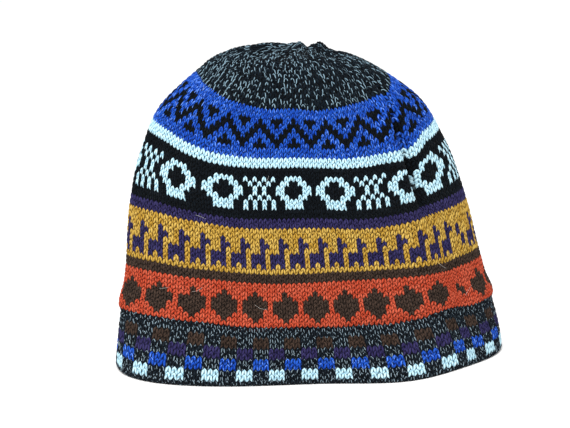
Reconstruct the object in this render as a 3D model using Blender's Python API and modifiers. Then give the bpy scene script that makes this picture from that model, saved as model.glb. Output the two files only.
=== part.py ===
"""Knitted beanie with a turned hem, a patterned body and a gathered crown, standing open on its rim.

Metres, +Z up. The rim rests on Z = 0, the long axis of the opening runs along X and the front faces -Y.
"""
import math

import bmesh
import bpy
import numpy as np

# Driving sizes
WIDTH = 0.2248           # outside the rim, side to side
DEPTH = 0.106            # outside the rim, front to back
HEM_HEIGHT = 0.0315      # rim to the upper edge of the turned hem
BODY_HEIGHT = 0.120      # hem to the crown's edge, measured at the front
CROWN_HEIGHT = 0.027     # crown's edge to the top
WALL = 0.003             # one layer of two-strand knitting
HEM_WALL = 0.0055        # the hem's two layers
CLEARANCE = 0.0003       # between pieces that meet
BULGE = 0.0016           # how far the body swells out just above the hem
DENT_DEPTH = 0.003       # deepest soft dent of the wall
FLARE_DEPTH = 0.0125     # how far the rim flares out at the front right and at the back left
PLEAT_DEPTH = 0.0055     # crease of the pleat at the front right
PLEAT_WIDTH = 0.0055     # half width of that crease
GATHER_DEPTH = 0.0028    # radial folds at the gathered point
NUB_HEIGHT = 0.0044      # two nubs where the last stitches are drawn together
NUB_SIZE = 0.0062        # radius of a nub
RIM_ROUND = 0.0011       # rounding of the hem's edges

# Colours of the wool
CHARCOAL = (0.020, 0.027, 0.035)
GOLD = (0.62, 0.30, 0.06)

# The wall is followed by its knitted rows, counted from the rim. In the tables a level counts zones
# instead: 0 rim, 1 hem's upper edge, 2 crown's edge, 3 gathered point, and shares of a zone's rows between.
HEM_ROWS = 11
BODY_ROWS = 46
CROWN_ROWS = 20
RIM = 0
HEM_TOP = HEM_ROWS
CROWN_EDGE = HEM_TOP + BODY_ROWS
POINT = CROWN_EDGE + CROWN_ROWS
ZONE_ENDS = (0, 1, 2, 3)
ZONE_END_ROWS = (RIM, HEM_TOP, CROWN_EDGE, POINT)
ZONE_END_HEIGHTS = np.cumsum((0.0, HEM_HEIGHT, BODY_HEIGHT, CROWN_HEIGHT))

# Sections of the outer wall. Rise is the height, counted in zones as a level is. Half width and lean are
# shares of half the width, half depth a share of half the depth. Droop says how much lower the right end
# lies, as a share of the crown's height. Left and right are the superellipse exponents of the two halves:
# 2 is an ellipse, less is a pinched end and more a full one.
SECTION_COLUMNS = ("level", "rise", "half_width", "half_depth", "lean", "droop", "left", "right")
SECTIONS = (
    (0.00, 0.000, 1.000, 1.000, 0.000, 0.000, 2.30, 2.40),
    (0.50, 0.500, 0.985, 0.995, -0.006, 0.000, 2.03, 2.20),
    (1.00, 1.000, 0.960, 0.980, -0.018, 0.000, 1.75, 2.00),
    (1.22, 1.215, 0.910, 0.968, -0.038, 0.000, 1.75, 2.00),
    (1.50, 1.510, 0.855, 0.947, -0.068, 0.000, 1.75, 2.00),
    (1.78, 1.785, 0.762, 0.925, -0.092, 0.000, 1.75, 2.00),
    (2.00, 2.000, 0.618, 0.868, -0.112, 0.000, 1.75, 2.00),
    (2.15, 2.290, 0.533, 0.808, -0.117, 0.020, 1.75, 2.00),
    (2.30, 2.560, 0.448, 0.717, -0.122, 0.045, 1.75, 2.00),
    (2.45, 2.755, 0.380, 0.607, -0.134, 0.070, 1.75, 2.00),
    (2.60, 2.845, 0.309, 0.481, -0.140, 0.090, 1.75, 2.00),
    (2.75, 2.885, 0.231, 0.343, -0.126, 0.170, 1.75, 2.00),
    (2.88, 2.905, 0.142, 0.211, -0.088, 0.120, 1.75, 2.00),
    (3.00, 2.880, 0.047, 0.077, -0.040, 0.000, 1.75, 2.00),
)

# How many more rows of the form the knitting has climbed at each side end than at the front
LIFT_COLUMNS = ("level", "left", "right")
LIFTS = (
    (0.00, 0.0, 0.0),
    (1.00, 1.6, 0.0),
    (1.26, 1.2, -0.8),
    (1.50, 2.2, 1.1),
    (1.78, 5.7, 3.7),
    (2.00, 5.4, 4.2),
    (2.50, 3.4, 2.8),
    (3.00, 0.0, 0.0),
)

LIFT_POWER = 4           # how late the climb begins on the way from the front to an end

# Soft dents and swells of the wall. Around is a share of a turn from the middle of the front towards +X,
# the spans say how far a dent reaches each way, and push is a share of the dents' depth, outward positive.
DENT_COLUMNS = ("around", "level", "around_span", "level_span", "push")
DENTS = (
    (0.200, 1.24, 0.045, 0.35, 0.55),
    (0.285, 1.46, 0.040, 0.39, -0.70),
    (0.420, 1.59, 0.060, 0.43, 0.60),
    (0.560, 1.41, 0.050, 0.48, -0.70),
    (0.660, 1.70, 0.050, 0.39, 0.50),
    (0.050, 1.70, 0.060, 0.30, 0.35),
    (0.900, 1.35, 0.060, 0.35, -0.35),
)

# Flares of the rim: the wall leans out to them from the hem's upper edge. Push is a share of their depth.
FLARE_COLUMNS = ("around", "around_span", "push")
FLARES = (
    (0.066, 0.066, 1.0),
    (0.566, 0.066, 1.0),
)

# The pleat: its place around the hat, how deep its crease is and how high the ridge on its left stands
PLEAT_COLUMNS = ("level", "around", "crease", "ridge")
PLEAT = (
    (1.37, 0.133, 0.00, 0.00),
    (1.50, 0.131, 0.30, 0.15),
    (1.65, 0.127, 0.80, 0.40),
    (1.78, 0.125, 1.00, 0.45),
    (1.88, 0.124, 1.00, 0.50),
    (1.97, 0.131, 0.95, 0.50),
    (2.10, 0.138, 0.60, 0.30),
    (2.40, 0.140, 0.00, 0.00),
)
RIDGE_OFF = 1.7          # middle of the ridge, left of the crease, in half widths of the crease
RIDGE_SPREAD = 1.3       # half width of the ridge, in the same measure

# Nubs at the gathered point: how far right and back of it they stand, as shares of a nub's radius
NUB_COLUMNS = ("right", "back")
NUBS = (
    (-0.45, 0.45),
    (1.40, 0.20),
)
NUB_STEEPNESS = 3.0      # how fast a nub falls off within its radius

GATHERS = 11             # radial folds round the gathered point
GATHER_START = 2.25      # level where they begin
GATHER_SWAY = 0.13       # how unevenly they are spaced, as a share of a fold
BULGE_LEVEL = 1.035      # middle of the bulge over the hem
BULGE_SPAN = 0.061       # how far it reaches up and down
COLUMNS = 60             # points round the hat
PLEAT_EXTRA = 6          # more points across the pleat
PLEAT_BEND = 0.06        # how far round the columns bend with the pleat, as a share of a turn
HEM_RINGS = (0, 0.36, 0.73, 1)
BODY_RINGS = (1, 1.033, 1.10, 1.20, 1.33, 1.46, 1.59, 1.70, 1.78, 1.87, 1.935, 2)
CROWN_RINGS = (2, 2.10, 2.20, 2.30, 2.41, 2.52, 2.63, 2.73, 2.815, 2.89, 2.95, 3)
SECTION_SAMPLES = 240    # points that measure a section's length
TURN_STEP = 0.002        # small steps for slopes, as a share of a turn and in rows
ROW_STEP = 0.05


def smooth(rows, values, at):
    """Value at a row, on a smooth curve through the given rows and values."""
    slopes = np.gradient(values, rows)
    at = min(max(at, rows[0]), rows[-1])
    k = min(int(np.searchsorted(rows, at, side="right")) - 1, len(rows) - 2)
    span = rows[k + 1] - rows[k]
    s = (at - rows[k]) / span
    start = (1 + 2 * s) * (1 - s) ** 2 * values[k] + s * (1 - s) ** 2 * span * slopes[k]
    end = s * s * (3 - 2 * s) * values[k + 1] + s * s * (s - 1) * span * slopes[k + 1]
    return start + end


def column(table, names, name):
    return np.array([line[names.index(name)] for line in table])


def rows_of(levels):
    return np.interp(levels, ZONE_ENDS, ZONE_END_ROWS)


SECTION_ROWS = rows_of(column(SECTIONS, SECTION_COLUMNS, "level"))
SECTION_Z = np.interp(column(SECTIONS, SECTION_COLUMNS, "rise"), ZONE_ENDS, ZONE_END_HEIGHTS)
SECTION_HALF_WIDTH = column(SECTIONS, SECTION_COLUMNS, "half_width") * WIDTH / 2
SECTION_HALF_DEPTH = column(SECTIONS, SECTION_COLUMNS, "half_depth") * DEPTH / 2
SECTION_LEAN = column(SECTIONS, SECTION_COLUMNS, "lean") * WIDTH / 2
SECTION_DROOP = column(SECTIONS, SECTION_COLUMNS, "droop") * CROWN_HEIGHT
SECTION_LEFT = column(SECTIONS, SECTION_COLUMNS, "left")
SECTION_RIGHT = column(SECTIONS, SECTION_COLUMNS, "right")
LIFT_ROWS = rows_of(column(LIFTS, LIFT_COLUMNS, "level"))
LIFT_LEFT = column(LIFTS, LIFT_COLUMNS, "left")
LIFT_RIGHT = column(LIFTS, LIFT_COLUMNS, "right")
PLEAT_ROWS = rows_of(column(PLEAT, PLEAT_COLUMNS, "level"))
PLEAT_AROUND = column(PLEAT, PLEAT_COLUMNS, "around")
PLEAT_CREASE = column(PLEAT, PLEAT_COLUMNS, "crease")
PLEAT_RIDGE = column(PLEAT, PLEAT_COLUMNS, "ridge")
PLEAT_MIDDLE = float(PLEAT_AROUND.mean())
PERIMETER = math.pi * (WIDTH + DEPTH) / 2


def section(row):
    """Closed outline of the outer wall at a row, from the middle of the front towards +X."""
    half_width = smooth(SECTION_ROWS, SECTION_HALF_WIDTH, row)
    half_depth = smooth(SECTION_ROWS, SECTION_HALF_DEPTH, row)
    left = smooth(SECTION_ROWS, SECTION_LEFT, row)
    right = smooth(SECTION_ROWS, SECTION_RIGHT, row)
    turn = np.linspace(-math.pi / 2, 1.5 * math.pi, SECTION_SAMPLES + 1)
    power = 2 / np.where(np.cos(turn) < 0, left, right)
    across = np.sign(np.cos(turn)) * np.abs(np.cos(turn)) ** power
    x = half_width * across + smooth(SECTION_ROWS, SECTION_LEAN, row)
    y = half_depth * np.sign(np.sin(turn)) * np.abs(np.sin(turn)) ** power
    z = smooth(SECTION_ROWS, SECTION_Z, row)
    z -= smooth(SECTION_ROWS, SECTION_DROOP, row) * np.clip(across, 0, 1) ** 2
    return np.column_stack((x, y, z + np.zeros_like(x)))


def base_point(around, row):
    """Point of the plain form, at a share of the way round and a row."""
    outline = section(row)
    steps = np.linalg.norm(np.diff(outline, axis=0), axis=1)
    run = np.concatenate(([0.0], np.cumsum(steps)))
    at = (around % 1.0) * run[-1]
    return np.array([np.interp(at, run, outline[:, k]) for k in range(3)])


def form(around, row):
    """Point of the form that a knitted row reaches at a share of the way round."""
    side = math.sin(2 * math.pi * around)
    lift = smooth(LIFT_ROWS, LIFT_LEFT if side < 0 else LIFT_RIGHT, row)
    return base_point(around, row + lift * side ** LIFT_POWER)


def outward(around, row):
    """Unit normal of the form, laid level towards the rim so that the rim is flat."""
    high = min(row + ROW_STEP, POINT - ROW_STEP)
    low = max(min(row, high) - ROW_STEP, RIM)
    up = form(around, high) - form(around, low)
    along = form(around + TURN_STEP, row) - form(around - TURN_STEP, row)
    normal = np.cross(along, up)
    normal[2] *= min(row / HEM_TOP, 1.0)
    return normal / np.linalg.norm(normal)


def apart(around, centre):
    """Distance round the hat from a centre, as a signed share."""
    return (around - centre + 0.5) % 1.0 - 0.5


def push(around, row):
    """Outward shift of the wall by its dents, the rim's flares, its bulge over the hem and its pleat."""
    level = float(np.interp(row, ZONE_END_ROWS, ZONE_ENDS))
    dents = 0.0
    for place, height, around_span, level_span, share in DENTS:
        reach = (apart(around, place) / around_span) ** 2 + ((level - height) / level_span) ** 2
        dents += share * DENT_DEPTH * math.exp(-reach)
    fade = min(level, ZONE_ENDS[-1] - level, 1.0)
    flares = 0.0
    for place, around_span, share in FLARES:
        flares += share * FLARE_DEPTH * math.exp(-(apart(around, place) / around_span) ** 2)
    flares *= max(1 - level, 0.0)
    bulge = BULGE * math.exp(-((level - BULGE_LEVEL) / BULGE_SPAN) ** 2) if row > HEM_TOP else 0.0
    return dents * fade + flares + bulge + pleat_push(around, row)


def pleat_push(around, row):
    if not PLEAT_ROWS[0] < row < PLEAT_ROWS[-1]:
        return 0.0
    crease = smooth(PLEAT_ROWS, PLEAT_CREASE, row)
    ridge = smooth(PLEAT_ROWS, PLEAT_RIDGE, row)
    off = apart(around, smooth(PLEAT_ROWS, PLEAT_AROUND, row)) * PERIMETER / PLEAT_WIDTH
    hill = math.exp(-((off + RIDGE_OFF) / RIDGE_SPREAD) ** 2)
    return PLEAT_DEPTH * (ridge * hill - crease * math.exp(-off * off))


def gather_push(around, row):
    """Ridges of the radial folds, highest just outside the gathered point."""
    start = rows_of(GATHER_START)
    near = max(0.0, (row - start) / (POINT - start))
    folds = GATHERS * around + GATHER_SWAY * math.sin(6 * math.pi * around)
    return GATHER_DEPTH * (0.5 + 0.5 * math.cos(2 * math.pi * folds)) * near * (1 - near ** 6)


def nub_rise(point):
    """Height that the nubs add over a point of the crown."""
    centre = form(0.0, POINT)
    rise = 0.0
    for right, back in NUBS:
        across = (point[0] - centre[0]) / NUB_SIZE - right
        along = point[1] / NUB_SIZE - back
        rise = max(rise, NUB_HEIGHT * math.exp(-NUB_STEEPNESS * (across ** 2 + along ** 2)))
    return rise


def wall_point(around, row, depth):
    """Point of the wall at a depth under its outer surface. Gathers and nubs are on the outside only."""
    shift = push(around, row) - depth
    if depth == 0 and row > CROWN_EDGE:
        point = form(around, row) + outward(around, row) * (shift + gather_push(around, row))
        point[2] += nub_rise(point)
        return point
    return form(around, row) + outward(around, row) * shift


def column_places():
    """Shares round the hat where the mesh has its columns: even, with more across the pleat."""
    places = [k / COLUMNS for k in range(COLUMNS)]
    step = PLEAT_WIDTH / PERIMETER / 2
    crossing = [PLEAT_MIDDLE + (k - PLEAT_EXTRA / 2) * step for k in range(PLEAT_EXTRA + 1)]
    places = [p for p in places if min(abs(p - c) for c in crossing) > step * 0.6]
    return sorted(places + crossing)


def along_pleat(place, row):
    """A column's share at a row, bent so that the columns near the pleat follow it."""
    bend = math.exp(-(apart(place, PLEAT_MIDDLE) / PLEAT_BEND) ** 2)
    return place + (smooth(PLEAT_ROWS, PLEAT_AROUND, row) - PLEAT_MIDDLE) * bend


def wall_solid(name, rings, wall, closed_top, colour, collection):
    """Closed wall lofted through its rings: up the outside, over the top edge, down the inside."""
    places = column_places()
    profile = [(row, 0.0) for row in rings] + [(row, wall) for row in reversed(rings)]
    mesh = bmesh.new()
    loops = []
    for row, depth in profile:
        loops.append([mesh.verts.new(wall_point(along_pleat(p, row), row, depth)) for p in places])
    pairs = list(zip(loops, loops[1:] + loops[:1]))
    if closed_top:
        top = len(rings) - 1
        mesh.faces.new(loops[top])
        mesh.faces.new(loops[top + 1][::-1])
        del pairs[top]
    for low, high in pairs:
        for k in range(len(places)):
            n = (k + 1) % len(places)
            mesh.faces.new((low[k], low[n], high[n], high[k]))
    data = bpy.data.meshes.new(name)
    mesh.to_mesh(data)
    mesh.free()
    data.shade_smooth()
    data.set_sharp_from_angle(angle=math.radians(50))
    data.materials.append(knit_material(name, colour))
    piece = bpy.data.objects.new(name, data)
    collection.objects.link(piece)
    return piece


def knit_material(name, colour):
    material = bpy.data.materials.new(name + "_wool")
    material.use_nodes = True
    shader = material.node_tree.nodes["Principled BSDF"]
    shader.inputs["Base Color"].default_value = (*colour, 1.0)
    shader.inputs["Roughness"].default_value = 0.9
    shader.inputs["Metallic"].default_value = 0.0
    return material


def ring_rows(levels, low_meets, high_meets):
    """Rows of a piece's rings, drawn back by half the clearance at an end that meets another piece."""
    rows = list(rows_of(levels))
    half_gap = CLEARANCE / 2 * BODY_ROWS / BODY_HEIGHT
    rows[0] += low_meets * half_gap
    rows[-1] -= high_meets * half_gap
    return rows


def build():
    for old in list(bpy.data.objects):
        bpy.data.objects.remove(old, do_unlink=True)
    hat = bpy.data.collections.new("wool_hat")
    bpy.context.scene.collection.children.link(hat)
    hem = wall_solid("hem_band", ring_rows(HEM_RINGS, False, True), HEM_WALL, False, CHARCOAL, hat)
    rounded = hem.modifiers.new("rounded_edges", "BEVEL")
    rounded.width = RIM_ROUND
    rounded.segments = 1
    rounded.limit_method = "ANGLE"
    rounded.angle_limit = math.radians(60)
    wall_solid("body", ring_rows(BODY_RINGS, True, True), WALL, False, GOLD, hat)
    wall_solid("crown", ring_rows(CROWN_RINGS, True, False), WALL, True, CHARCOAL, hat)


build()
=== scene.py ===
# %% [markdown]
# A hat knitted in alpaca wool, built stitch by stitch.
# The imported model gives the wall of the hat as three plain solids: the turned hem, the patterned body and
# the gathered crown. This lesson dresses them. It rebuilds the same wall as a function of knitted rows and
# stitches, lays every stitch on it as one bent strand of yarn, and colours them from hand-drawn charts.

# %% Load the frame
import math

import bpy
import numpy as np
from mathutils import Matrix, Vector


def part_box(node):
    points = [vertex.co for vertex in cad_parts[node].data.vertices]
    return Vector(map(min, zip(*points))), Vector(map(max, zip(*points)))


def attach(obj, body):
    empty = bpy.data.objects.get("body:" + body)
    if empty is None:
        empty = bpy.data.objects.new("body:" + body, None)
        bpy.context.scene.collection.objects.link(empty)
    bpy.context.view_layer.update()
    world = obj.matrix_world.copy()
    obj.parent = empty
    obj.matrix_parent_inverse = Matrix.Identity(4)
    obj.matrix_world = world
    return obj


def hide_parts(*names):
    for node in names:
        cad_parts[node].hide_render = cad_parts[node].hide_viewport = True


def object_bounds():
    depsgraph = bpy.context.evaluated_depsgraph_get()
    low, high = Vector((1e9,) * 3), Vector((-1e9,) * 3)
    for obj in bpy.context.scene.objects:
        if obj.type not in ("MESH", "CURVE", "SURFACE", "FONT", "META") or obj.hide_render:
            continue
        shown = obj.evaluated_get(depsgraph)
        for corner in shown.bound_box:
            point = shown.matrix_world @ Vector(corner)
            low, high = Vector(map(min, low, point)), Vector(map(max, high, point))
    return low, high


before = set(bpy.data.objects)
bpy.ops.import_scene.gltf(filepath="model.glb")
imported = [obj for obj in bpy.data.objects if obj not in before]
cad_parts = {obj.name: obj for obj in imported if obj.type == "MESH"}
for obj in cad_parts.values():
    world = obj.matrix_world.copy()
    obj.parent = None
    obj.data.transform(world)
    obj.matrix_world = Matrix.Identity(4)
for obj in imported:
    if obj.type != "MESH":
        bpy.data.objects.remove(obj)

cad_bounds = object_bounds()
rim_low, rim_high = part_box("hem_band")
print("nodes", sorted(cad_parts), "CAD box", [tuple(round(v, 4) for v in p) for p in cad_bounds])

# %% [markdown]
# Sizes. The hat's width and height are read from the frame, so the dress fits the solids. The zones up
# the wall are shares of that height. Knitters count rows and stitches, and so does this file: a place on
# the hat is a stitch number round it and a row number up it.

# %% Sizes of the hat
DEPTH_SHARE = 0.4715                 # of the width, before the flares are added
WIDTH = rim_high.x - rim_low.x
DEPTH = WIDTH * DEPTH_SHARE
HEIGHT = cad_bounds[1][2]
HEM_SHARE, BODY_SHARE, CROWN_SHARE = 0.1754, 0.6681, 0.1503
HEM_ROWS, BODY_ROWS, CROWN_ROWS = 11, 46, 20
STITCHES = 168
HEM_TOP = HEM_ROWS
CROWN_EDGE = HEM_TOP + BODY_ROWS
POINT = CROWN_EDGE + CROWN_ROWS
WALL = 0.003
ZONE_ENDS = (0, 1, 2, 3)
ZONE_ROWS = (0, HEM_TOP, CROWN_EDGE, POINT)
ZONE_HEIGHTS = np.cumsum((0.0, HEM_SHARE, BODY_SHARE, CROWN_SHARE)) * HEIGHT
ROW_HEIGHT = BODY_SHARE * HEIGHT / BODY_ROWS
STITCH_WIDTH = 0.0028                # at which one stitch is drawn; the skin then stretches it
print("hat", round(WIDTH * 1000), "x", round(DEPTH * 1000), "x", round(HEIGHT * 1000), "mm,",
      "a row is", round(ROW_HEIGHT * 1000, 2), "mm")

# %% [markdown]
# The form. A hat set down open has an almond-shaped opening, because it has lain folded flat: its two ends
# stay pinched. A superellipse gives such sections, and a short table says how they narrow, flatten and lean
# towards the gathered top. Its levels count zones: 0 rim, 1 hem's edge, 2 crown's edge, 3 gathered point.
# Droop lowers the right end of the crown, and left and right are the exponents of the two halves.

# %% Tables of the form
SECTION_COLUMNS = ("level", "rise", "half_width", "half_depth", "lean", "droop", "left", "right")
SECTIONS = (
    (0.00, 0.000, 1.000, 1.000, 0.000, 0.000, 2.30, 2.40),
    (0.50, 0.500, 0.985, 0.995, -0.006, 0.000, 2.03, 2.20),
    (1.00, 1.000, 0.960, 0.980, -0.018, 0.000, 1.75, 2.00),
    (1.22, 1.215, 0.910, 0.968, -0.038, 0.000, 1.75, 2.00),
    (1.50, 1.510, 0.855, 0.947, -0.068, 0.000, 1.75, 2.00),
    (1.78, 1.785, 0.762, 0.925, -0.092, 0.000, 1.75, 2.00),
    (2.00, 2.000, 0.618, 0.868, -0.112, 0.000, 1.75, 2.00),
    (2.15, 2.290, 0.533, 0.808, -0.117, 0.020, 1.75, 2.00),
    (2.30, 2.560, 0.448, 0.717, -0.122, 0.045, 1.75, 2.00),
    (2.45, 2.755, 0.380, 0.607, -0.134, 0.070, 1.75, 2.00),
    (2.60, 2.845, 0.309, 0.481, -0.140, 0.090, 1.75, 2.00),
    (2.75, 2.885, 0.231, 0.343, -0.126, 0.170, 1.75, 2.00),
    (2.88, 2.905, 0.142, 0.211, -0.088, 0.120, 1.75, 2.00),
    (3.00, 2.880, 0.047, 0.077, -0.040, 0.000, 1.75, 2.00),
)
LIFT_POWER = 4
LIFT_COLUMNS = ("level", "left", "right")
LIFTS = (
    (0.00, 0.0, 0.0),
    (1.00, 1.6, 0.0),
    (1.26, 1.2, -0.8),
    (1.50, 2.2, 1.1),
    (1.78, 5.7, 3.7),
    (2.00, 5.4, 4.2),
    (2.50, 3.4, 2.8),
    (3.00, 0.0, 0.0),
)


def rows_of(levels):
    return np.interp(levels, ZONE_ENDS, ZONE_ROWS)


def column(table, names, name):
    return np.array([line[names.index(name)] for line in table])


def smooth(rows, values, at):
    """Values at many rows, on a smooth curve through the given rows and values."""
    slopes = np.gradient(values, rows)
    at = np.clip(at, rows[0], rows[-1])
    k = np.clip(np.searchsorted(rows, at, side="right") - 1, 0, len(rows) - 2)
    span = rows[k + 1] - rows[k]
    s = (at - rows[k]) / span
    start = (1 + 2 * s) * (1 - s) ** 2 * values[k] + s * (1 - s) ** 2 * span * slopes[k]
    end = s * s * (3 - 2 * s) * values[k + 1] + s * s * (s - 1) * span * slopes[k + 1]
    return start + end


# %% [markdown]
# Each section is an outline whose points are spread evenly along its length, because stitches are equally
# wide all the way round. Working them out for every stitch would be slow, so the plain form is worked out
# once on a fine grid of rows and shares of a turn, and read from there.

# %% Grid of the plain form
GRID_TURN = STITCHES * 4
GRID_STEP = 0.25
LIFT_ROOM = 8                        # rows above the point, which the lifted ends may read
GRID_ROWS = np.arange(0, POINT + LIFT_ROOM + 0.01, GRID_STEP)
OUTLINE_POINTS = 1441
BEFORE_LAST = 1.001                  # keeps a place just below the last line of a table


def plain_form():
    rows = rows_of(column(SECTIONS, SECTION_COLUMNS, "level"))
    heights = np.interp(column(SECTIONS, SECTION_COLUMNS, "rise"), ZONE_ENDS, ZONE_HEIGHTS)
    rise = smooth(rows, heights, GRID_ROWS)
    half_width, half_depth, lean, droop, left, right = (
        smooth(rows, column(SECTIONS, SECTION_COLUMNS, name), GRID_ROWS) for name in SECTION_COLUMNS[2:])
    turn = np.linspace(-math.pi / 2, 1.5 * math.pi, OUTLINE_POINTS)
    shares = np.linspace(0, 1, GRID_TURN + 1)
    grid = np.empty((len(GRID_ROWS), GRID_TURN + 1, 3))
    for k in range(len(GRID_ROWS)):
        power = 2 / np.where(np.cos(turn) < 0, left[k], right[k])
        across = np.sign(np.cos(turn)) * np.abs(np.cos(turn)) ** power
        x = (lean[k] + half_width[k] * across) * WIDTH / 2
        y = half_depth[k] * np.sign(np.sin(turn)) * np.abs(np.sin(turn)) ** power * DEPTH / 2
        z = rise[k] - droop[k] * CROWN_SHARE * HEIGHT * np.clip(across, 0, 1) ** 2
        gaps = np.sqrt(np.diff(x) ** 2 + np.diff(y) ** 2 + np.diff(z) ** 2)
        run = np.concatenate(([0.0], np.cumsum(gaps)))
        for axis, values in enumerate((x, y, z)):
            grid[k, :, axis] = np.interp(shares * run[-1], run, values)
    return grid


def read_grid(grid, first_row, row_step, around, row):
    """Points of a grid at shares of a turn and rows, blended from the four nearest."""
    turns = (around % 1.0) * GRID_TURN
    ups = np.clip((row - first_row) / row_step, 0, grid.shape[0] - BEFORE_LAST)
    i, j = ups.astype(int), turns.astype(int)
    s, t = (ups - i)[..., None], (turns - j)[..., None]
    low = grid[i, j] * (1 - t) + grid[i, j + 1] * t
    high = grid[i + 1, j] * (1 - t) + grid[i + 1, j + 1] * t
    return low * (1 - s) + high * s


PLAIN = plain_form()
LIFT_ROWS = rows_of(column(LIFTS, LIFT_COLUMNS, "level"))


def form(around, row):
    """Plain form at a share of a turn and a row. Rows climb further at the two ends than at the front."""
    side = np.sin(2 * math.pi * around)
    left = smooth(LIFT_ROWS, column(LIFTS, LIFT_COLUMNS, "left"), row)
    right = smooth(LIFT_ROWS, column(LIFTS, LIFT_COLUMNS, "right"), row)
    lift = np.where(side < 0, left, right) * side ** LIFT_POWER
    return read_grid(PLAIN, 0.0, GRID_STEP, around, row + lift)


print("form grid", PLAIN.shape)

# %% [markdown]
# Soft dents, two flares of the rim, the bulge of the body over the hem, the pleat and the radial gathers
# push the wall in or out along its normal. Sculpting would do it too, but a few bumps with named places can
# be moved and measured. They are the ones that the solids have. The stitches can show more, so the ridge
# beside the pleat and the gathers are higher here, the two nubs differ in size, and a narrow tuck is added
# at the bottom of the pleat.

# %% Dents, flares, bulge, pleat and gathers
BULGE, BULGE_LEVEL, BULGE_SPAN = 0.0016, 1.035, 0.061
DENT_DEPTH = 0.003
FLARE_DEPTH = 0.0125
FLARES = (                           # around, span around, share of the depth
    (0.066, 0.066, 1.0),
    (0.566, 0.066, 1.0),
)
DENTS = (                            # around, level, span around, span in levels, share of the depth
    (0.200, 1.24, 0.045, 0.35, 0.55),
    (0.285, 1.46, 0.040, 0.39, -0.70),
    (0.420, 1.59, 0.060, 0.43, 0.60),
    (0.560, 1.41, 0.050, 0.48, -0.70),
    (0.660, 1.70, 0.050, 0.39, 0.50),
    (0.050, 1.70, 0.060, 0.30, 0.35),
    (0.900, 1.35, 0.060, 0.35, -0.35),
)
PLEAT_DEPTH, PLEAT_WIDTH, RIDGE_OFF, RIDGE_SPREAD = 0.0055, 0.0055, 1.7, 1.3
# SHADE_WIDTH is the half width of the painted shade in the tuck, in half widths of the pleat.
TUCK_DEPTH, TUCK_WIDTH, SHADE_WIDTH, RIDGE_GAIN = 0.005, 0.42, 0.42, 1.6
FLAT_ROW, FLAT_ROWS, FLAT_SHARE = 46.0, 1.7, 0.85     # the white band bridges most of the tuck
PLEAT_COLUMNS = ("level", "around", "crease", "ridge")
PLEAT = (
    (1.37, 0.133, 0.00, 0.00),
    (1.50, 0.131, 0.30, 0.15),
    (1.65, 0.127, 0.80, 0.40),
    (1.78, 0.125, 1.00, 0.45),
    (1.88, 0.124, 1.00, 0.50),
    (1.97, 0.131, 0.95, 0.50),
    (2.10, 0.138, 0.60, 0.30),
    (2.40, 0.140, 0.00, 0.00),
)
GATHERS, GATHER_DEPTH, GATHER_START, GATHER_SWAY = 11, 0.0040, 2.25, 0.13
# Share of painted shade at the bottom of a gather crease.
GATHER_SHADE = 0.75
NUBS = (                             # right and back of the point in nub sizes, relative size, height
    (-0.38, 0.20, 0.88, 0.0050),
    (1.42, 0.10, 1.38, 0.0043),
)
NUB_SIZE, NUB_STEEPNESS = 0.0066, 1.8
PERIMETER = math.pi * (WIDTH + DEPTH) / 2


def apart(around, centre):
    return (around - centre + 0.5) % 1.0 - 0.5


def pleat_at(around, row):
    """Distance from the crease in half widths, and the strengths of the crease, the ridge and the tuck."""
    rows = rows_of(column(PLEAT, PLEAT_COLUMNS, "level"))
    middle, crease, ridge = (
        smooth(rows, column(PLEAT, PLEAT_COLUMNS, name), row) for name in PLEAT_COLUMNS[1:])
    inside = (row > rows[0]) & (row < rows[-1])
    tuck = crease * (1 - FLAT_SHARE * np.exp(-((row - FLAT_ROW) / FLAT_ROWS) ** 2))
    return apart(around, middle) * PERIMETER / PLEAT_WIDTH, inside * crease, inside * ridge, inside * tuck


def pleat_push(around, row):
    off, crease, ridge, tuck = pleat_at(around, row)
    hill = RIDGE_GAIN * np.exp(-((off + RIDGE_OFF) / RIDGE_SPREAD) ** 2)
    narrow = np.exp(-(off / TUCK_WIDTH) ** 2)
    return PLEAT_DEPTH * (ridge * hill - crease * np.exp(-off * off)) - TUCK_DEPTH * tuck * narrow


def gather_at(around, row):
    """How near the gathered point a place is, and its height on the radial folds, from 0 to 1."""
    start = rows_of(GATHER_START)
    near = np.clip((row - start) / (POINT - start), 0, 1)
    folds = GATHERS * around + GATHER_SWAY * np.sin(6 * math.pi * around)
    return near, 0.5 + 0.5 * np.cos(2 * math.pi * folds)


def gather_push(around, row):
    near, height = gather_at(around, row)
    return GATHER_DEPTH * height * near * (1 - near ** 6)


def shade_share(around, row):
    """How much painted shade a place gets in the tuck or in a gather crease, from 0 outside to 1 at its
    bottom.
    """
    off, _, _, tuck = pleat_at(around, row)
    near, height = gather_at(around, row)
    in_tuck = np.clip(tuck, 0, 1) * np.exp(-(off / SHADE_WIDTH) ** 2)
    return np.maximum(in_tuck, GATHER_SHADE * near * (1 - height) ** 2)


def push(around, row):
    level = np.interp(row, ZONE_ROWS, ZONE_ENDS)
    dents = np.zeros_like(level)
    for place, height, around_span, level_span, share in DENTS:
        reach = (apart(around, place) / around_span) ** 2 + ((level - height) / level_span) ** 2
        dents += share * DENT_DEPTH * np.exp(-reach)
    fade = np.minimum(np.minimum(level, ZONE_ENDS[-1] - level), 1.0)
    flares = np.zeros_like(level)
    for place, around_span, share in FLARES:
        flares += share * FLARE_DEPTH * np.exp(-(apart(around, place) / around_span) ** 2)
    flares *= np.clip(1 - level, 0, 1)
    bulge = BULGE * np.exp(-((level - BULGE_LEVEL) / BULGE_SPAN) ** 2) * (row > HEM_TOP)
    return dents * fade + flares + bulge + pleat_push(around, row) + gather_push(around, row)


# %% [markdown]
# Knitted cloth is never pulled evenly. Two tables say where a stitch or a row really lies on the form, as
# offsets in stitches and in rows. A line starts with a stitch, counted from the front middle, and has an
# offset for each of the rows named above the table. Under the pleat three columns of stitches are tucked
# out of sight, and the rows sag in front of it. The charts stay straight, as a knitter reads them.

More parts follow.
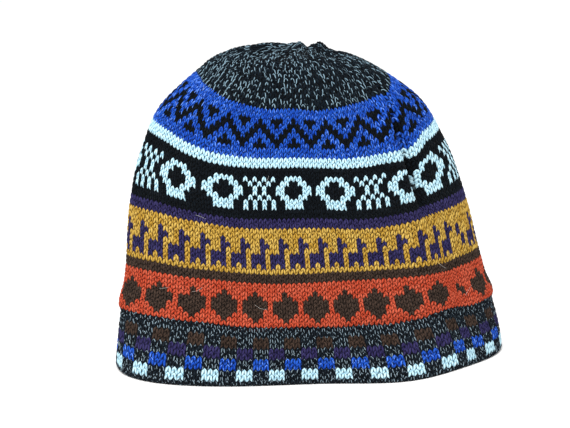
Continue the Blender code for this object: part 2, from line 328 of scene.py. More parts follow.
# %% Uneven pull of the cloth
STRETCH_ROWS = (0, 31, 38, 57, 77)
STRETCH = (
    (-42, 0.0, 0.0, 0.0, 0.0, 0.0),
    (-33, 0.7, 0.7, -0.3, -0.3, 0.0),
    (-27, 1.4, 1.4, -0.3, 0.0, 0.0),
    (-21, 1.3, 1.3, 1.0, 0.6, 0.0),
    (-15, 1.0, 1.0, 0.8, 0.5, 0.0),
    (-9, 0.4, 0.4, 0.3, 0.2, 0.0),
    (-3, 0.1, 0.1, -0.4, 0.0, 0.0),
    (3, -0.3, -0.3, -0.9, -0.4, 0.0),
    (9, -0.4, -0.4, -0.4, 0.0, 0.0),
    (15, 0.2, 0.2, 0.0, 0.0, 0.0),
    (20, 1.6, 1.6, 0.5, 0.7, 0.0),
    (23.5, 1.0, 0.9, -2.6, -1.8, 0.0),
    (27, 0.0, 0.0, -1.6, -1.0, 0.0),
    (33, 0.4, 0.4, 0.6, 0.4, 0.0),
    (42, 0.0, 0.0, 0.0, 0.0, 0.0),
)
SAG_ROWS = (0, 11, 22, 32, 46, 57, 77)
SAG = (
    (-42, 0.0, 0.0, 0.0, 0.5, 0.0, 0.0, 0.0),
    (-34, 0.0, 0.2, 0.2, 0.6, -0.5, -0.4, 0.0),
    (-29, 0.0, 0.3, 0.0, 0.2, -1.1, -0.2, 0.0),
    (-24, 0.0, 0.5, 0.0, 0.0, -1.3, -0.2, 0.0),
    (-19, 0.0, 0.1, -0.2, -0.4, -1.0, 0.0, 0.0),
    (-12, 0.0, 0.0, -0.5, -0.4, -0.6, -0.3, 0.0),
    (-5, 0.0, 0.0, -0.4, -0.3, -0.4, -0.1, 0.0),
    (1, 0.0, -0.3, -0.3, -0.5, -0.7, -0.7, 0.0),
    (6, 0.0, -0.3, -0.5, -1.1, -1.2, -0.5, 0.0),
    (11, 0.0, -0.6, -0.7, -1.4, -1.2, 0.0, 0.0),
    (17, 0.0, -0.4, -1.1, -1.1, -1.1, 0.3, 0.0),
    (21, 0.0, 0.5, -1.1, -0.7, -1.7, 0.0, 0.0),
    (25, 0.0, 0.6, -1.0, -0.3, -1.7, -0.4, 0.0),
    (29, 0.0, 0.0, -0.2, -0.2, 0.2, 0.0, 0.0),
    (34, 0.0, 0.2, 0.2, 0.0, 0.2, 0.0, 0.0),
    (42, 0.0, 0.0, 0.0, 0.0, 0.0, 0.0, 0.0),
)


def table_at(table, rows, around, row):
    """Value of a table with a line for each place round the hat and a column for each row."""
    lines = np.array(table)
    stitch = apart(around, 0.0) * STITCHES
    down = np.empty((len(rows),) + stitch.shape)
    for k in range(len(rows)):
        down[k] = np.interp(stitch, lines[:, 0], lines[:, k + 1])
    place = np.clip(np.interp(row, rows, np.arange(len(rows))), 0, len(rows) - BEFORE_LAST)
    k = place.astype(int)
    share = place - k
    low = np.take_along_axis(down, k[None], 0)[0]
    high = np.take_along_axis(down, k[None] + 1, 0)[0]
    return low * (1 - share) + high * share


def pulled(around, row):
    """Share of a turn and row of the form where a stitch of the chart lies."""
    moved = around + table_at(STRETCH, STRETCH_ROWS, around, row) / STITCHES
    return moved, np.maximum(row + table_at(SAG, SAG_ROWS, around, row), np.minimum(row, 1.0))


# %% [markdown]
# The skin is the finished outer surface as a second grid, with its normals. Below the first row the hem is
# turned: the fabric rolls under in a half circle and goes up inside, which gives the rim its soft edge.

# %% Skin with the turned rim
SKIN_STEP = 0.25
TURN_ROWS = 1.0                      # rows in each quarter of the turned rim
FIRST_ROW = 1 - 2 * TURN_ROWS
CLOSING_ROWS, CLOSING_SHARE = 2, 0.95     # rows over which the gathered point is drawn shut, and how far
RIM_ROW = 0.45                       # row of the form where the turned edge begins
RIM_RADIUS = float(form(np.array(0.0), np.array(RIM_ROW))[2])
SKIN_ROWS = np.arange(FIRST_ROW, POINT + CLOSING_ROWS + 0.01, SKIN_STEP)


def normals_of(grid):
    along = np.empty_like(grid)
    along[:, 1:-1] = grid[:, 2:] - grid[:, :-2]
    along[:, 0] = along[:, -1] = grid[:, 1] - grid[:, -2]
    up = np.gradient(grid, axis=0)
    normal = np.cross(along, up)
    return normal / np.maximum(np.linalg.norm(normal, axis=-1, keepdims=True), 1e-12)


def make_skin():
    around = np.linspace(0, 1, GRID_TURN + 1)[None, :] + np.zeros((len(SKIN_ROWS), 1))
    row = SKIN_ROWS[:, None] + np.zeros((1, GRID_TURN + 1))
    seated = np.where(row > 1, row, RIM_ROW + np.clip(row, 0, 1) * (1 - RIM_ROW))
    place, height = pulled(around, np.clip(seated, RIM_ROW, POINT))
    plain = form(place, height)
    plain[:, -1] = plain[:, 0]
    normal = normals_of(plain)
    turned = int((1 - FIRST_ROW) / SKIN_STEP)
    normal[:turned] = normal[turned]
    closed = int((POINT - 1 - FIRST_ROW) / SKIN_STEP)
    normal[closed:] = normal[closed]
    normal[..., 2] *= np.clip(row / HEM_TOP, 0, 1)
    normal /= np.linalg.norm(normal, axis=-1, keepdims=True)
    skin = plain + normal * push(place, height)[..., None]
    centre = skin[int((POINT - FIRST_ROW) / SKIN_STEP), :-1].mean(0)
    shut = np.clip((row - POINT) / CLOSING_ROWS, 0, CLOSING_SHARE)[..., None]
    skin = skin * (1 - shut) + centre * shut
    skin[..., 2] += nub_rise(skin) * (row > CROWN_EDGE)
    roll = np.clip(1 - row, 0, None) / TURN_ROWS * math.pi / 2
    skin += normal * (RIM_RADIUS * (np.cos(roll) - 1))[..., None]
    skin[..., 2] -= RIM_RADIUS * np.sin(roll)
    return skin


def nub_rise(point):
    """How far the two nubs lift a point of the crown."""
    centre = form(np.array(0.0), np.array(float(POINT)))
    rise = np.zeros(point.shape[:-1])
    for right, back, size, height in NUBS:
        off = ((point[..., 0] - centre[0]) / NUB_SIZE - right) ** 2 + (point[..., 1] / NUB_SIZE - back) ** 2
        rise = np.maximum(rise, height * np.exp(-NUB_STEEPNESS * off / size ** 2))
    return rise


SKIN = make_skin()
SKIN_NORMALS = normals_of(SKIN)


def skin_at(around, row, out=0.0):
    """Point of the skin at a share of a turn and a row, moved out along its normal."""
    place = read_grid(SKIN, FIRST_ROW, SKIN_STEP, around, row)
    normal = read_grid(SKIN_NORMALS, FIRST_ROW, SKIN_STEP, around, row)
    normal /= np.linalg.norm(normal, axis=-1, keepdims=True)
    return place + normal * np.asarray(out)[..., None]


print("skin from", SKIN.reshape(-1, 3).min(0).round(4), "to", SKIN.reshape(-1, 3).max(0).round(4))

# %% [markdown]
# Charts. A knitter reads coloured bands from a chart with one square for each stitch, and repeats it round
# the hat. Each chart here is drawn top row first. A letter is a yarn: o orange, b brown, g gold,
# p purple, k black, w white, u blue marl, c charcoal marl, m the crown's marl. Charts are short and
# readable, which an image of the pattern would not be, and every band can be changed by retyping a line.

# %% Charts of the bands
CHECKS_BROWN = ("bbbccc", "bbbccc")
CHECKS_PURPLE = ("pppccc", "pppccc")
CHECKS_BLUE = ("uuuccc", "uuuccc")
CHECKS_WHITE = ("wwwccc", "wwwccc")
DIAMOND = ("oobooo", "obbboo", "bbbbbo", "bbbbbo", "bbbbbo", "obbboo", "oobooo")
LLAMA = ("ggpg", "ggpp", "ggpg", "pppg", "pppg", "pgpg")
RINGS = (
    "kkwwwwkk" "k" "kkwwwwkk" "wkwkwkw",
    "kwwkkwwk" "k" "kwwkkwwk" "kwkwkwk",
    "wwkkkkww" "k" "wwkkkkww" "kkwkwkk",
    "wwkkkkww" "k" "wwkkkkww" "kkwkwkk",
    "kwwkkwwk" "k" "kwwkkwwk" "kwkwkwk",
    "kkwwwwkk" "k" "kkwwwwkk" "wkwkwkw",
    "kkwwwwkk" "k" "kkwwwwkk" "wkwkwkw",
)
ZIGZAG = ("kkuukuuk", "kuukkkuu", "uukkukku", "ukkuuukk", "kkuukuuk", "kuukkkuu")
BANDS = (                            # first row, chart, first stitch of a repeat
    (-1, ("c",) * 2, 0),
    (1, CHECKS_WHITE, 0),
    (3, CHECKS_BLUE, 3),
    (5, CHECKS_PURPLE, 0),
    (7, CHECKS_BROWN, 3),
    (9, ("c",) * 2, 0),
    (11, ("o",), 0),
    (12, DIAMOND, -5),
    (19, ("o",) * 2, 0),
    (21, ("b",) * 2, 0),
    (23, ("g",), 0),
    (24, LLAMA, -3),
    (30, ("g",) * 2, 0),
    (32, ("p",) * 2, 0),
    (34, ("k",) * 2, 0),
    (36, RINGS, -9),
    (43, ("k",) * 2, 0),
    (45, ("w",) * 2, 0),
    (47, ("u",) * 2, 0),
    (49, ZIGZAG, -1),
    (55, ("u",) * 2, 0),
    (57, ("m",) * 22, 0),
)
CUT_DIAMOND = ("oooooo", "oooooo", "oobooo", "oobboo", "oooboo", "oooooo", "oooooo")
CUT_LLAMA = ("gggg", "gpgg", "gpgg", "ggpg", "ggpg", "gggg")
JOIN = ((DIAMOND, 5, CUT_DIAMOND), (LLAMA, 8, CUT_LLAMA))     # where a round begins, a repeat is cut short
NOTCH_REPEAT = 3                     # in every three diamonds, two have one stitch in orange
NOTCHES = ((0, 17, 1), (2, 14, 4))   # which of the three, and the stitch's row and column of the chart


def yarn_at(row, stitch):
    """Letter of the yarn of one stitch."""
    first_row, chart, first_stitch = [band for band in BANDS if band[0] <= row][-1]
    repeat, place = divmod(stitch - first_stitch, len(chart[0]))
    for whole, cut_repeat, cut in JOIN:
        if chart is whole and repeat == cut_repeat:
            chart = cut
    if chart is DIAMOND and (repeat % NOTCH_REPEAT, row, place) in NOTCHES:
        return "o"
    return chart[len(chart) - 1 - (row - first_row)][place]


print("front middle, from the rim up:", "".join(yarn_at(row, 0) for row in range(0, POINT)))

# %% [markdown]
# One stitch. This hat is worn with its knitting upside down, so each stitch is a loop like a horseshoe: two
# legs that meet in a round arch at the top and spread to pointed feet, which sink between the arches of
# the row below. A curve with a bevel would draw it, but thousands of curves are slow. One small tube is
# worked out here instead, and every stitch is a bent copy of it.

# %% Shape of one stitch
TUBE_SIDES = 5
LEG = (                              # across in stitches, up in rows, out, half width, half thickness
    (0.490, -0.80, -0.00130, 0.000, 0.00000),
    (0.395, -0.50, -0.00085, 0.170, 0.00042),
    (0.280, -0.05, -0.00050, 0.240, 0.00058),
    (0.215, 0.36, -0.00046, 0.230, 0.00058),
    (0.000, 0.66, -0.00062, 0.185, 0.00046),
)


def loop_path():
    """The whole loop from the left foot over the arch to the right foot: one line for each station."""
    right = np.array(LEG)
    left = right * (-1, 1, 1, 1, 1)
    return np.concatenate((left, right[-2::-1]))


def make_stitch():
    """Points of one stitch (across in stitches, up in rows, out in metres), its faces and strand marks."""
    path = loop_path()
    out, half_width, half_thickness = path[:, 2:].T
    metric = path[:, :2] * (STITCH_WIDTH, ROW_HEIGHT)
    forward = np.gradient(metric, axis=0)
    forward /= np.linalg.norm(forward, axis=1, keepdims=True)
    beside = np.stack((-forward[:, 1], forward[:, 0]), axis=1)
    run = np.concatenate(([0.0], np.cumsum(np.linalg.norm(np.diff(metric, axis=0), axis=1))))
    along = run / run[-1]
    points, marks, faces = [], [], []
    for k in range(1, len(path) - 1):
        for side in range(TUBE_SIDES):
            turn = 2 * math.pi * side / TUBE_SIDES
            spot = metric[k] + beside[k] * half_width[k] * STITCH_WIDTH * math.sin(turn)
            lift = out[k] + half_thickness[k] * math.cos(turn)
            points.append((spot[0] / STITCH_WIDTH, spot[1] / ROW_HEIGHT, lift))
            signed = turn / math.pi if turn < math.pi else turn / math.pi - 2
            marks.append((along[k], signed))
    ends = (len(points), len(points) + 1)
    for end in (0, -1):
        points.append(tuple(path[end, :3]))
        marks.append((along[end], 0.0))
    rings = len(path) - 2
    for ring in range(rings - 1):
        for side in range(TUBE_SIDES):
            a, b = ring * TUBE_SIDES + side, ring * TUBE_SIDES + (side + 1) % TUBE_SIDES
            faces += [(a, a + TUBE_SIDES, b + TUBE_SIDES), (a, b + TUBE_SIDES, b)]
    for side in range(TUBE_SIDES):
        a, b = side, (side + 1) % TUBE_SIDES
        last = (rings - 1) * TUBE_SIDES
        faces += [(ends[0], a, b), (ends[1], last + b, last + a)]
    return np.array(points), np.array(faces), np.array(marks)


STITCH_POINTS, STITCH_FACES, STITCH_MARKS = make_stitch()
print("one stitch:", len(STITCH_POINTS), "points,", len(STITCH_FACES), "triangles")

# %% [markdown]
# Yarns. A material is written as an expression over a few marks that every stitch carries: how far along
# its strand a point is, where it is round the strand, and a number of its own for each stitch. One class
# wraps a socket of the node tree, so that sums and products of Python add the nodes.

# %% A class for shader expressions
class Shade:
    """A socket of a node tree that plain expressions can use."""

    def __init__(self, tree, socket=None):
        self.tree = tree
        self.socket = socket

    def node(self, kind, settings=None, values=None, out=0):
        """Any node: its settings are set first, then the values or links of its sockets."""
        made = self.tree.nodes.new(kind)
        for name, value in (settings or {}).items():
            setattr(made, name, value)
        for name, value in (values or {}).items():
            if isinstance(value, Shade):
                self.tree.links.new(value.socket, made.inputs[name])
            else:
                made.inputs[name].default_value = value
        return Shade(self.tree, made.outputs[out])

    def mark(self, name, out=1):
        """A mark that the points of a mesh carry, as a vector, or as a colour from output 0."""
        return self.node("ShaderNodeAttribute", {"attribute_name": name}, out=out)

    def parts(self):
        """The three numbers of a vector."""
        return [self.node("ShaderNodeSeparateXYZ", values={0: self}, out=k) for k in range(3)]

    def math(self, operation, first, second=0.0):
        return self.node("ShaderNodeMath", {"operation": operation}, {0: first, 1: second})

    def __abs__(self):
        return self.math("ABSOLUTE", self)

    def __add__(self, other):
        return self.math("ADD", self, other)

    __radd__ = __add__

    def __sub__(self, other):
        return self.math("SUBTRACT", self, other)

    def __rsub__(self, other):
        return self.math("SUBTRACT", other, self)

    def __mul__(self, other):
        return self.math("MULTIPLY", self, other)

    __rmul__ = __mul__

    def wave(self):
        """Sine of a whole number of turns, from 0 to 1."""
        return self.math("SINE", self * (2 * math.pi)) * 0.5 + 0.5

    def step(self, low, high):
        """0 below low, 1 above high, and a smooth rise between."""
        values = {"Value": self, "From Min": low, "From Max": high}
        return self.node("ShaderNodeMapRange", {"interpolation_type": "SMOOTHSTEP"}, values)

    def mix(self, first, second):
        """First colour where this is 0, second where it is 1."""
        values = {0: self, 6: first, 7: second}
        return self.node("ShaderNodeMix", {"data_type": "RGBA"}, values, 2)


def paint(red, green, blue):
    """A colour from its screen values, 0 to 255."""
    shares = np.array((red, green, blue)) / 255
    linear = np.where(shares <= 0.04045, shares / 12.92, ((shares + 0.055) / 1.055) ** 2.4)
    return (*linear, 1.0)


# %% [markdown]
# Alpaca yarn has two plies twisted together. Each yarn has three tones of its colour: plain, light, and
# deep, which is painted shade in the grooves between the plies, broken up at random by the hairs; half of
# it is the painted shade on the sides and feet of a strand and in creases. In a marl yarn one ply is pale,
# and shows as short slanting strokes. Each stitch has a lane of its own for them, so that they don't line
# up, and a slow drift over the hat makes some places paler than others. Colours in a table are easier to
# match to the photograph than single materials.

# %% Colours of the yarns
YARNS = (                            # letter, name, deep, plain, light
    ("o", "orange_wool", (100, 26, 12), (167, 60, 36), (187, 86, 62)),
    ("b", "brown_wool", (16, 12, 10), (48, 37, 31), (66, 52, 44)),
    ("g", "gold_wool", (92, 62, 12), (162, 124, 40), (194, 163, 82)),
    ("p", "purple_wool", (12, 11, 36), (36, 31, 68), (52, 48, 90)),
    ("k", "black_wool", (1, 2, 3), (5, 9, 14), (12, 18, 24)),
    ("w", "white_wool", (110, 154, 174), (172, 208, 220), (192, 224, 234)),
    ("u", "blue_marl_wool", (4, 16, 62), (16, 60, 158), (36, 86, 184)),
    ("c", "charcoal_marl_wool", (2, 4, 7), (10, 16, 23), (20, 29, 37)),
    ("m", "crown_marl_wool", (1, 3, 6), (5, 11, 17), (14, 24, 33)),
)
FLECKS = {                           # colour, strokes along a strand, their share, width and drift
    "u": ((96, 138, 222), 2.0, 0.46, 0.15, 0.5),
    "c": ((122, 140, 150), 2.4, 0.58, 0.13, 0.25),
    "m": ((116, 142, 156), 1.1, 0.53, 0.16, 0.6),
}
FLECK_SPREAD, FLECK_SLANT = 0.40, 0.35
FLECK_LOW, FLECK_HIGH = 0.95, 1.03   # noise where a fleck begins and is full, less the share of flecks
LANE_SEED, STROKE_SEED, PATCH_SEED = 37.0, 7.0, 140.0     # these spread the number that a stitch has
PATCHES_EACH_STROKE = 1.5
DRIFT_SCALE = 32.0
TWIST_ALONG, TWIST_ROUND = 2.6, 0.5
TWIST_BUMP, HAIR_BUMP = 0.00022, 0.00010
HAIRS_ALONG, HAIRS_ROUND, HAIRS_APART = 5.0, 1.2, 90.0
TONE_SHARE, TWIST_SHARE = 0.35, 0.55
LIGHT_STEP, DEEP_STEP, STROKE_STEP = (0.18, 0.82), (0.10, 0.52), (0.30, 0.55)
SIDE_STEP, FOOT_STEP = (0.18, 0.50), (0.34, 0.48)
# Strength of the painted shade in creases, and how far painted shade darkens a strand.
FOLD_SHADE_GAIN, PAINTED_SHADE_SHARE = 1.2, 0.75
print(len(YARNS), "yarns, of which", len(FLECKS), "are marl")

# %% [markdown]
# The surface of the wool is soft, with many fine hairs and no shine. The tone varies a little from stitch
# to stitch. Shade is painted into the colour: it grows dark where a strand turns away between its
# neighbours, at its feet, and where it lies in the tuck or a gather crease. Bump gives the twist and the
# hairs; it costs nothing, and the stitches under it are real shapes.

# %% Yarn materials
def with_flecks(colour, along, around, seed, fleck, flecks_along, share, width, drift):
    """A colour with the pale strokes of a marl yarn on it."""
    lane = (seed.math("FRACT", seed * LANE_SEED) - 0.5) * FLECK_SPREAD + (along - 0.5) * FLECK_SLANT
    inside = 1 - abs(around - lane).step(width * 0.5, width)
    stroke = (along * flecks_along + seed * STROKE_SEED).wave().step(*STROKE_STEP)
    spot = {0: along * flecks_along * PATCHES_EACH_STROKE, 1: seed * PATCH_SEED, 2: 0.0}
    patch = seed.node("ShaderNodeCombineXYZ", values=spot)
    where = seed.node("ShaderNodeTexNoise", values={"Vector": patch, "Scale": 1.0, "Detail": 1.0})
    place = seed.node("ShaderNodeTexCoord", out=3)
    slow = {"Vector": place, "Scale": DRIFT_SCALE, "Detail": 1.0}
    drifting = seed.node("ShaderNodeTexNoise", values=slow)
    shown = (where + (drifting - 0.5) * drift).step(FLECK_LOW - share, FLECK_HIGH - share)
    return (inside * stroke * shown).mix(colour, paint(*fleck))


def yarn_material(letter, name, deep, plain, light):
    material = bpy.data.materials.new(name)
    material.use_nodes = True
    shader = material.node_tree.nodes["Principled BSDF"]
    start = Shade(material.node_tree)
    along, around, seed = start.mark("strand").parts()
    # The place mark carries the painted shade of the creases and a random tone for each stitch.
    fold_shade, _, tone = start.mark("place").parts()
    twist = (along * TWIST_ALONG + around * TWIST_ROUND + seed).wave()
    spot = {0: along * HAIRS_ALONG, 1: around * HAIRS_ROUND, 2: seed * HAIRS_APART}
    fibres = start.node("ShaderNodeCombineXYZ", values=spot)
    fine = {"Vector": fibres, "Scale": 2.2, "Detail": 3.0, "Roughness": 0.7}
    hair = start.node("ShaderNodeTexNoise", values=fine)
    lit = (tone * TONE_SHARE + hair * (1 - TONE_SHARE)).step(*LIGHT_STEP)
    # Painted shade: where the twist sinks between the plies the colour goes to the deep tone, broken up at
    # random by the hairs.
    raised = (twist * TWIST_SHARE + hair * (1 - TWIST_SHARE)).step(*DEEP_STEP)
    colour = (1 - raised).mix(lit.mix(paint(*plain), paint(*light)), paint(*deep))
    if letter in FLECKS:
        colour = with_flecks(colour, along, around, seed, *FLECKS[letter])
    # Painted shade: the colour goes towards half the deep tone on the sides of a strand, where it turns
    # away between its neighbours, at its feet, which sink under the row below, and in the tuck and gather
    # creases.
    side = abs(around).step(*SIDE_STEP)
    foot = abs(along - 0.5).step(*FOOT_STEP)
    painted_shade = start.math("MAXIMUM", start.math("MAXIMUM", side, foot), fold_shade * FOLD_SHADE_GAIN)
    colour = (painted_shade * PAINTED_SHADE_SHARE).mix(colour, paint(*(value * 0.5 for value in deep)))
    start.tree.links.new(colour.socket, shader.inputs["Base Color"])
    relief = twist * TWIST_BUMP + hair * HAIR_BUMP
    normal = start.node("ShaderNodeBump", values={"Height": relief, "Strength": 0.6, "Distance": 1.0})
    start.tree.links.new(normal.socket, shader.inputs["Normal"])
    shader.inputs["Roughness"].default_value = 0.88
    shader.inputs["Specular IOR Level"].default_value = 0.06
    shader.inputs["Sheen Weight"].default_value = 0.02
    shader.inputs["Sheen Roughness"].default_value = 0.45
    return material


YARN_MATERIALS = {yarn[0]: yarn_material(*yarn) for yarn in YARNS}
YARN_COLOURS = {yarn[0]: yarn[3] for yarn in YARNS}
print("yarns:", ", ".join(material.name for material in YARN_MATERIALS.values()))

# %% [markdown]
# Laying the stitches. Every stitch of a band is placed on the skin at its own share of the turn, with a
# little unevenness, as hand-guided knitting has. One band of colours is one object, so that a band can be
# looked at or changed alone, and stays a mesh of a sensible size.

# %% Lay stitches on the skin
rng = np.random.default_rng(12)
UNEVEN = {"across": 0.018, "up": 0.024, "size": 0.03, "out": 0.00005}
TOP_GAP = 0.2                        # rows between the last stitches and the end of the skin


def add_piece(name, points, faces, materials):
    """One smooth object from points and faces, linked to the scene."""
    mesh = bpy.data.meshes.new(name)
    mesh.from_pydata(points, [], faces)
    mesh.shade_smooth()
    for material in materials:
        mesh.materials.append(material)
    piece = bpy.data.objects.new(name, mesh)
    bpy.context.scene.collection.objects.link(piece)
    return piece


def set_marks(mesh, name, values):
    mark = mesh.attributes.new(name, "FLOAT_VECTOR", "POINT")
    mark.data.foreach_set("vector", np.ascontiguousarray(values, np.float32).reshape(-1))


def lay_stitches(name, spots, letters):
    """One object of many stitches. A spot is (share of a turn, row centre, width as a share of a turn)."""
    spots = np.array(spots)
    count = len(spots)
    shifts = rng.normal(0.0, 1.0, (count, 4))
    x, y, out = STITCH_POINTS.T
    size = 1 + shifts[:, 2:3] * UNEVEN["size"]
    across = x[None] * size + shifts[:, 0:1] * UNEVEN["across"]
    up = y[None] * (1 + shifts[:, 2:3] * UNEVEN["size"] * 0.5) + shifts[:, 1:2] * UNEVEN["up"]
    around = spots[:, 0:1] + across * spots[:, 2:3]
    row = np.clip(spots[:, 1:2] + up, FIRST_ROW, POINT + CLOSING_ROWS - TOP_GAP)
    height = out[None] + shifts[:, 3:4] * UNEVEN["out"]
    points = skin_at(around, row, height).reshape(-1, 3)
    faces = (STITCH_FACES[None] + (np.arange(count) * len(STITCH_POINTS))[:, None, None]).reshape(-1, 3)
    used = sorted(set(letters))
    piece = add_piece(name, points, faces, [YARN_MATERIALS[letter] for letter in used])
    slots = np.repeat([used.index(letter) for letter in letters], len(STITCH_FACES))
    piece.data.polygons.foreach_set("material_index", slots.astype(np.int32))
    seeds = np.repeat(rng.random(count), len(STITCH_POINTS))
    tones = np.repeat(rng.random(count), len(STITCH_POINTS))
    marks = np.tile(STITCH_MARKS, (count, 1))
    set_marks(piece.data, "strand", np.column_stack((marks, seeds)))
    # Painted shade for the tuck and the gather creases, carried in the place mark.
    fold_shade = shade_share(*pulled(around, np.minimum(row, POINT))).reshape(-1)
    set_marks(piece.data, "place", np.column_stack((fold_shade, row.reshape(-1), tones)))
    print(name, count, "stitches,", len(faces), "triangles")
    return piece


def band_of_rows(name, first_row, last_row):
    spots, letters = [], []
    for row in range(first_row, last_row + 1):
        for stitch in range(STITCHES):
            spots.append((stitch / STITCHES, row + 0.5, 1 / STITCHES))
            letters.append(yarn_at(row, stitch))
    return lay_stitches(name, spots, letters)


hem_stitches = band_of_rows("hem_stitches", -1, HEM_TOP - 1)
diamond_band = band_of_rows("diamond_band", HEM_TOP, 22)
llama_band = band_of_rows("llama_band", 23, 33)
ring_band = band_of_rows("ring_band", 34, 46)
zigzag_band = band_of_rows("zigzag_band", 47, CROWN_EDGE - 1)

# %% [markdown]
# The crown is knitted in sectors that narrow row by row, because the way round gets shorter. Each sector
# loses a stitch every row or two, and its columns fan in towards the point.

# %% Crown stitches
CROWN_SECTORS = 12
CROWN_STITCH = 0.0030
WAY_POINTS = 360


def way_round(row):
    """Length of the way round the hat along one row."""
    line = skin_at(np.linspace(0, 1, WAY_POINTS, endpoint=False), np.full(WAY_POINTS, float(row)))
    return np.linalg.norm(np.roll(line, -1, axis=0) - line, axis=1).sum()


def crown_spots():
    spots = []
    for row in range(CROWN_EDGE, POINT + CLOSING_ROWS):
        middle = row + 0.5
        count = max(1, round(way_round(middle) / CROWN_STITCH / CROWN_SECTORS))
        for sector in range(CROWN_SECTORS):
            for stitch in range(count):
                share = (sector + (stitch + 0.5) / count) / CROWN_SECTORS
                spots.append((share, middle, 1 / CROWN_SECTORS / count))
    return spots


spots = crown_spots()
crown_stitches = lay_stitches("crown_stitches", spots, ["m"] * len(spots))

# %% [markdown]
# The ground. Between the legs of the stitches one sees a little of the yarn that runs behind them, and
# inside the hat the purl side with its bumps and floats. Both are one closed wall under the stitches, in
# the
# colours of the bands, with painted shade: near black between the purl bumps, and darker still on the outer
# side under the stitches.

# %% Ground walls
OUTER_DEPTH = 0.0010
HEM_WALL = 0.0052
PURL_BUMP, PURL_HAIR_BUMP = 0.0004, 0.0002
PURL_SHARE, PURL_HAIR_SHARE, PURL_STEP = 0.7, 0.5, (0.15, 0.75)
HAIRS_EACH_STITCH, HAIRS_EACH_ROW = 2.0, 6.0
# Strength of the painted shade on the ground under the stitches.
OUTER_SHADE = 0.8                    # how dark the ground is under the stitches


def ground_material():
    material = bpy.data.materials.new("purl_side_wool")
    material.use_nodes = True
    shader = material.node_tree.nodes["Principled BSDF"]
    start = Shade(material.node_tree)
    around, row, outer = start.mark("place").parts()
    stitch = around * STITCHES
    bumps = stitch.wave() * row.wave()
    spot = {0: stitch * HAIRS_EACH_STITCH, 1: row * HAIRS_EACH_ROW, 2: 0.0}
    fibres = start.node("ShaderNodeCombineXYZ", values=spot)
    fine = {"Vector": fibres, "Scale": 1.0, "Detail": 3.0, "Roughness": 0.7}
    hair = start.node("ShaderNodeTexNoise", values=fine)
    shown = (bumps * PURL_SHARE + hair * PURL_HAIR_SHARE).step(*PURL_STEP)
    # Painted shade: the purl side is near black between its bumps and hairs, and takes the band's colour on
    # them.
    colour = shown.mix(paint(10, 10, 14), start.mark("tint", out=0))
    # Painted shade: the outer side of the wall, under the stitches, is darkened towards near black.
    colour = (outer * OUTER_SHADE).mix(colour, paint(4, 5, 8))
    start.tree.links.new(colour.socket, shader.inputs["Base Color"])
    relief = bumps * PURL_BUMP + hair * PURL_HAIR_BUMP
    normal = start.node("ShaderNodeBump", values={"Height": relief, "Distance": 1.0})
    start.tree.links.new(normal.socket, shader.inputs["Normal"])
    shader.inputs["Roughness"].default_value = 0.92
    shader.inputs["Specular IOR Level"].default_value = 0.15
    return material


def ground_wall(name, outer_rows, inner_rows, inner_depth):
    """A closed wall: up its outer side and down its inner side, joined at both ends."""
    rows = np.concatenate((outer_rows, inner_rows[::-1]))
    depths = (np.full(len(outer_rows), OUTER_DEPTH), np.full(len(inner_rows), inner_depth))
    around, row = np.meshgrid(np.arange(STITCHES) / STITCHES, rows)
    faces = []
    for k in range(len(rows)):
        for j in range(STITCHES):
            low, high = k * STITCHES, (k + 1) % len(rows) * STITCHES
            beside = (j + 1) % STITCHES
            faces.append((low + j, low + beside, high + beside, high + j))
    points = skin_at(around, row, -np.concatenate(depths)[:, None]).reshape(-1, 3)
    piece = add_piece(name, points, faces, [GROUND_MATERIAL])
    place = np.stack((around, row), axis=-1).reshape(-1, 2)
    outer = np.repeat(np.arange(len(rows)) < len(outer_rows), STITCHES)
    set_marks(piece.data, "place", np.column_stack((place, outer)))
    tint = piece.data.attributes.new("tint", "FLOAT_COLOR", "POINT")
    colours = [paint(*YARN_COLOURS[yarn_at(int(min(max(row, 0), POINT - 1)), int(turn * STITCHES))])
               for turn, row in place]
    tint.data.foreach_set("color", np.array(colours, np.float32).reshape(-1))
    print(name, len(faces) * 2, "triangles")
    return piece


GROUND_MATERIAL = ground_material()
hem_rows = np.concatenate((np.arange(FIRST_ROW + 0.4, 1, 0.5), np.arange(1, HEM_TOP + 0.01, 1.0)))
body_rows = np.arange(HEM_TOP, CROWN_EDGE + 0.01, 1.0)
crown_rows = np.append(np.arange(CROWN_EDGE, POINT + CLOSING_ROWS - 0.5, 1.0), POINT + CLOSING_ROWS)
hem_ground = ground_wall("hem_ground", hem_rows, np.arange(1.0, HEM_TOP + 0.01, 1.0), HEM_WALL)
body_ground = ground_wall("body_ground", body_rows, body_rows, WALL)
crown_ground = ground_wall("crown_ground", crown_rows, crown_rows, WALL)

# %% [markdown]
# Stray hairs. Alpaca sheds a few pale hairs that stand off the knitting. Each one is a thin bent tube that
# lifts off the skin in the middle. Six longer ones lie where they show, and a few more are scattered.

# %% Stray hairs
HAIRS = (                            # stitch, row, length, turn, bow
    (-26, 18.5, 0.007, 0.5, 0.3),
    (-14, 15.5, 0.008, -0.3, 0.5),
    (29, 15.0, 0.009, 0.6, -0.4),
    (-32, 18.0, 0.006, 0.3, 0.1),
    (23, 22.5, 0.008, -0.5, 0.4),
    (-25, 33.5, 0.006, -0.2, -0.3),
)
HAIR_POINTS, HAIR_SIDES, HAIR_RADIUS, HAIR_LIFT = 9, 4, 0.00005, 0.0011
HAIR_ARCH = 3.2                      # how far a hair's ends come down to the skin
SCATTERED_HAIRS, HAIR_LENGTHS, HAIR_TURN, HAIR_BOW = 10, (0.003, 0.006), 1.2, 0.6


def plain_material(name, colour, roughness, specular=0.5):
    material = bpy.data.materials.new(name)
    material.use_nodes = True
    shader = material.node_tree.nodes["Principled BSDF"]
    shader.inputs["Base Color"].default_value = colour
    shader.inputs["Roughness"].default_value = roughness
    shader.inputs["Specular IOR Level"].default_value = specular
    return material


